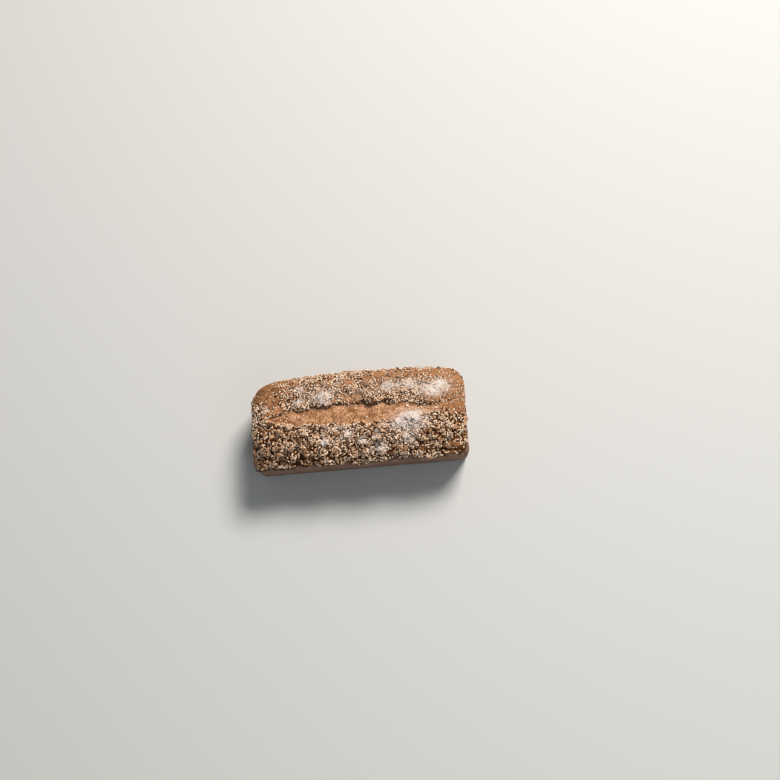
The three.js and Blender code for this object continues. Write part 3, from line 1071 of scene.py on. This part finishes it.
def crowding(points, seed_points):
    """How thickly seeds lie about each point: their number in cubic cells, blended between the cells."""
    cell, margin = 0.0026, 2
    low = seed_points.min(0) - margin * cell
    cells = np.floor((seed_points - low) / cell).astype(int)
    counts = np.zeros(cells.max(0) + 2 * margin)
    np.add.at(counts, tuple(cells.T), 1.0)
    place = np.clip((points - low) / cell - 0.5, 0, np.array(counts.shape) - 1)
    return np.clip(blend(counts, place), 0, 1)


def flour_amount(points):
    """How much flour lies at the points, from 0 to 1."""
    return np.clip(spots(points, FLOUR), 0, 1)


def crust_tone(grid, crags, rugged, seed_points, split):
    """Tone of the crust from dark to light.

    It is darker on the near side and on the browned places, the near left corner of which is painted
    shade.
    It is darker as painted shade where seeds crowd, in the gaps between crags and in the folds. It is
    lighter where it is bare.
    """
    middle, near_loss, bare_gain, seed_shade_loss = 0.42, 0.08, 0.08, 0.8
    gap_loss, fold_shade_loss, browned_shade_loss = 0.42, 350, 1.3
    gap_start, gap_end = -0.9, 0.25
    gaps = 1 - smoothstep(crags, gap_start, gap_end)
    tone = middle - near_loss * near_side(grid, split) + bare_gain * bareness(grid)
    # painted shade where seeds crowd and in the gaps between the crags
    tone = tone - seed_shade_loss * np.sqrt(rugged) * crowding(grid, seed_points) - gap_loss * gaps * rugged
    # painted shade in the folds, and the browned spots, which at the near left corner are painted shade
    return tone - fold_shade_loss * folds(grid[..., 0], grid[..., 1]) - browned_shade_loss * spots(grid, BROWNED_AND_SHADED)


def crust_flour(grid, crags, rugged, shape):
    """Flour on the dome: more on the crags and less in the gaps between them."""
    gap_loss, crag_share, gap_start, gap_end = 0.45, 1.12, -0.6, 0.4
    raised = lerp(1 - gap_loss * rugged ** 2, crag_share, smoothstep(crags, gap_start, gap_end))
    return flour_amount(grid) * raised * (grid[..., 2] > shape.shoulder_height)


def build_crust(shape, split, seeds, colours):
    """The whole skin of the bread as one closed grid of rows, from the base's middle to the split's line.

    The values on the mesh say where it is side, band or dome, how light it is and how much flour it has.
    A painted shadow runs along the foot of the far lip: a dark line, as a bell curve of the rows, where
    the lip overhangs the band.
    """
    columns, dome_count, lip_count, band_count = 600, 92, 9, 17
    lip_shadow_row, lip_shadow_reach, lip_shadow_loss = lip_count - 1.5, 4.5, 1.3
    fray_start, side_start, band_row, tip, full_width = 0.06, 0.5, 2, 0.05, 0.3
    t = np.arange(columns) / columns
    sides = side_rows(t, shape)
    skirt = base_rows(t, shape) + sides + roll_rows(t, sides[-1], shape, split)
    rises = np.linspace(0, 1, dome_count + 1)
    upper = list(dome(t[None], rises[:, None], shape, split))
    grid = np.array(skirt + upper + split_rows(t, shape, split, lip_count, band_count))
    rows = len(grid)
    row = np.arange(rows)[:, None] + np.zeros(columns)
    torn_row = row - len(skirt) - len(upper)
    rise = np.clip(row - len(skirt), 0, None) / dome_count
    frayed = rise + grain(grid, FRAY) * smoothstep(rise, 0, fray_start)
    reach = split_place(t, shape, split)[1]
    # painted shadow under the far lip's overhang: a bell curve of the rows along its foot
    lip_shadow = np.exp(-((torn_row - lip_shadow_row) / lip_shadow_reach) ** 2) * (reach > 0)
    band = smoothstep(torn_row, band_row, lip_count) * smoothstep(np.abs(reach), tip, full_width)
    seed_points = np.concatenate([kind.points for kind in seed_places(shape, split, seeds).values()])
    crags = crag_height(grid, shape, split)
    rugged = ruggedness(grid, split)
    # the painted shadow darkens the tone along the far lip's foot, and the band's tan gives way to it
    tone = crust_tone(grid, crags, rugged, seed_points, split) - lip_shadow_loss * lip_shadow
    mesh = bpy.data.meshes.new("crust")
    mesh.from_pydata(grid.reshape(-1, 3), [], grid_faces(rows, columns).tolist())
    set_values(mesh, "side", 1 - smoothstep(frayed, side_start * seed_line(t), seed_line(t)))
    set_values(mesh, "band", band * (1 - lip_shadow))
    set_values(mesh, "tone", tone)
    set_values(mesh, "flour", crust_flour(grid, crags, rugged, shape))
    set_map(mesh, grid_map(rows, columns))
    weld(mesh)
    crust = new_piece("crust", mesh, crust_finish(colours))
    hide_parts("loaf")


class SeedKind(NamedTuple):
    """One kind of seed: its name, form, sizes and finish, how far it stands out and how much it leans."""

    name: str
    form: tuple
    dimensions: tuple
    material: bpy.types.Material
    proud: float
    lean: float


def lay_seeds(kind, places, rng, split):
    """One piece with all seeds of a kind, each of its own size, turn and lean, sunk into the crust.

    Seeds on the far side are a little smaller and paler. Those on the browned places are darker, as
    painted shade at the near left corner.
    """
    size_spread, smallest, largest, far_size = 0.12, 0.7, 1.4, 0.83
    lift_range, dust_range, stray_dust = (0.5, 1.5), (0.4, 1.1), 0.3
    browned_shade_gain, far_loss = 0.7, 0.15
    points = places.points
    count = len(points)
    near = near_side(points, split)
    frames = seed_frames(places.normals, places.spin, rng.normal(0, kind.lean, (count, 3)))
    sizes = np.array(kind.dimensions) * rng.normal(1, size_spread, (count, 3)).clip(smallest, largest)
    sizes *= lerp(far_size, 1.0, near)[:, None]
    lift = kind.proud * sizes[:, 2] * rng.uniform(*lift_range, count)
    dust = flour_amount(points) * rng.uniform(*dust_range, count) + stray_dust * rng.random(count) ** 4
    # the browned spots darken the seeds too, as painted shade at the near left corner
    shade = rng.random(count) + grain(points, SHADE_PATCHES) + browned_shade_gain * spots(points, BROWNED_AND_SHADED)
    shade = shade - far_loss * (1 - near)
    middles = points + places.normals * lift[:, None]
    mesh = seeds_mesh(kind.name, kind.form, middles, frames, sizes, shade, dust)
    new_piece(kind.name, mesh, kind.material)


def build_seeds(shape, split, seeds, colours):
    """Sunflower kernels, spelt flakes, linseeds and sesame seeds, one piece for each kind."""
    rng = np.random.default_rng(LOOKS_SEED)
    places = seed_places(shape, split, seeds)
    kernel_shades = (colours.kernel_pale, colours.kernel_toasted, colours.kernel_toasted)
    flake_shades = (colours.flake_pale, colours.flake_tan, colours.flake_brown)
    linseed_shades = (colours.linseed, colours.linseed_light, colours.linseed_light)
    sesame_shades = (colours.sesame_pale, colours.sesame_toasted, colours.sesame_dark_and_shaded)
    kernel_finish = seed_finish("kernel", kernel_shades, colours.flour, roughness=0.6)
    flake_finish = seed_finish("flake", flake_shades, colours.flour, roughness=0.7)
    linseed_finish = seed_finish("linseed", linseed_shades, colours.flour, roughness=0.35)
    sesame_finish = seed_finish("sesame", sesame_shades, colours.flour, roughness=0.55)
    kernel_form = unit_seed(around=12, levels=5, taper=0.45)
    flake_form = unit_seed(around=9, levels=4, taper=0.1, wobble=0.18, bend=0.4)
    linseed_form = unit_seed(around=8, levels=4, taper=0.3)
    sesame_form = unit_seed(around=6, levels=3, taper=0.35)
    kinds = (
        SeedKind("kernels", kernel_form, seeds.kernel, kernel_finish, proud=0.12, lean=0.2),
        SeedKind("flakes", flake_form, seeds.flake, flake_finish, proud=0.2, lean=0.3),
        SeedKind("linseed", linseed_form, seeds.linseed, linseed_finish, proud=0.3, lean=0.2),
        SeedKind("sesame", sesame_form, seeds.sesame, sesame_finish, proud=0.2, lean=0.2),
    )
    for kind in kinds:
        lay_seeds(kind, places[kind.name], rng, split)


def build_stage(stage, colours):
    """A pale floor, one large soft light from the far right, a weak fill, and the camera."""
    scene = bpy.context.scene
    scene.view_settings.view_transform = "Standard"
    world = bpy.data.worlds.new("sky")
    world.use_nodes = True
    world.node_tree.nodes["Background"].inputs["Color"].default_value = (*stage.sky_tint, 1.0)
    world.node_tree.nodes["Background"].inputs["Strength"].default_value = stage.sky
    scene.world = world
    signs = ((-1, -1), (1, -1), (1, 1), (-1, 1))
    corners = [(x * stage.floor_reach, y * stage.floor_reach, 0) for x, y in signs]
    mesh = bpy.data.meshes.new("floor")
    mesh.from_pydata(corners, [], [(0, 1, 2, 3)])
    finish = Finish("floor", roughness=0.9, shine=0.25)
    finish.colour(colours.floor)
    mesh.materials.append(finish.material)
    floor = bpy.data.objects.new("floor", mesh)
    scene.collection.objects.link(floor)
    aim = Vector((0, 0, stage.light_aim))
    add_light("key", stage.key_place, aim, stage.key_side, stage.key_power, stage.key_tint)
    add_light("fill", stage.fill_place, aim, stage.fill_side, stage.fill_power, stage.fill_tint)
    add_camera(stage)


def add_light(name, place, aim, side, power, tint):
    """A square soft light that faces the point of aim."""
    light = bpy.data.lights.new(name, "AREA")
    light.size = side
    light.energy = power
    light.color = tint
    lamp = bpy.data.objects.new(name, light)
    lamp.location = place
    lamp.rotation_euler = (aim - Vector(place)).to_track_quat("-Z", "Y").to_euler()
    bpy.context.scene.collection.objects.link(lamp)


def add_camera(stage):
    """Camera at the photograph's angle, placed so that the loaf's middle shows at the given pixel."""
    elevation = math.radians(stage.elevation)
    azimuth = math.radians(stage.azimuth)
    back = Vector((
        math.sin(azimuth) * math.cos(elevation),
        -math.cos(azimuth) * math.cos(elevation),
        math.sin(elevation),
    ))
    right = Vector((math.cos(azimuth), math.sin(azimuth), 0))
    up = back.cross(right)
    scale = stage.distance / stage.focal_pixels
    place = Vector((0, 0, stage.aim_height)) + back * stage.distance
    place -= right * (stage.picture_x - stage.picture_size / 2) * scale
    place += up * (stage.picture_y - stage.picture_size / 2) * scale
    data = bpy.data.cameras.new("camera")
    data.sensor_width = 36.0
    data.lens = data.sensor_width * stage.focal_pixels / stage.picture_size
    camera = bpy.data.objects.new("camera", data)
    camera.matrix_world = Matrix.Translation(place) @ Matrix((right, up, back)).transposed().to_4x4()
    bpy.context.scene.collection.objects.link(camera)
    bpy.context.scene.camera = camera


# Operators and panel

class LOAF_OT_crust(Operator):
    """Build the crust with its split"""

    bl_idname = "loaf.crust"
    bl_label = "Bake crust"

    def execute(self, context):
        scene = context.scene
        build_crust(scene.loaf_shape, scene.loaf_split, scene.loaf_seeds, scene.loaf_colours)
        return {"FINISHED"}


class LOAF_OT_seeds(Operator):
    """Build the sunflower kernels, spelt flakes, linseeds and sesame seeds"""

    bl_idname = "loaf.seeds"
    bl_label = "Sow seeds"

    def execute(self, context):
        scene = context.scene
        build_seeds(scene.loaf_shape, scene.loaf_split, scene.loaf_seeds, scene.loaf_colours)
        return {"FINISHED"}


class LOAF_OT_stage(Operator):
    """Build the floor, lights and camera"""

    bl_idname = "loaf.stage"
    bl_label = "Set stage"

    def execute(self, context):
        build_stage(context.scene.loaf_stage, context.scene.loaf_colours)
        return {"FINISHED"}


GROUPS = {
    "loaf_shape": LoafShape,
    "loaf_split": LoafSplit,
    "loaf_seeds": LoafSeeds,
    "loaf_colours": LoafColours,
    "loaf_stage": LoafStage,
}
OPERATORS = (LOAF_OT_crust, LOAF_OT_seeds, LOAF_OT_stage)


class LOAF_PT_panel(Panel):
    """Lists the loaf's operators and settings"""

    bl_idname = "LOAF_PT_panel"
    bl_label = "Seeded loaf"
    bl_space_type = "VIEW_3D"
    bl_region_type = "UI"
    bl_category = "Loaf"

    def draw(self, context):
        for operator in OPERATORS:
            self.layout.operator(operator.bl_idname)
        for name, group in GROUPS.items():
            box = self.layout.box()
            for setting in group.__annotations__:
                box.prop(getattr(context.scene, name), setting)


def register():
    """Registers the settings, operators and panel."""
    for name, group in GROUPS.items():
        bpy.utils.register_class(group)
        setattr(bpy.types.Scene, name, PointerProperty(type=group))
    for item in (*OPERATORS, LOAF_PT_panel):
        bpy.utils.register_class(item)


def unregister():
    """Removes what register added."""
    for item in (LOAF_PT_panel, *reversed(OPERATORS)):
        bpy.utils.unregister_class(item)
    for name, group in reversed(GROUPS.items()):
        delattr(bpy.types.Scene, name)
        bpy.utils.unregister_class(group)


def main():
    """Builds the loaf and its stage."""
    register()
    bpy.ops.loaf.crust()
    bpy.ops.loaf.seeds()
    bpy.ops.loaf.stage()


if __name__ == "__main__":
    main()
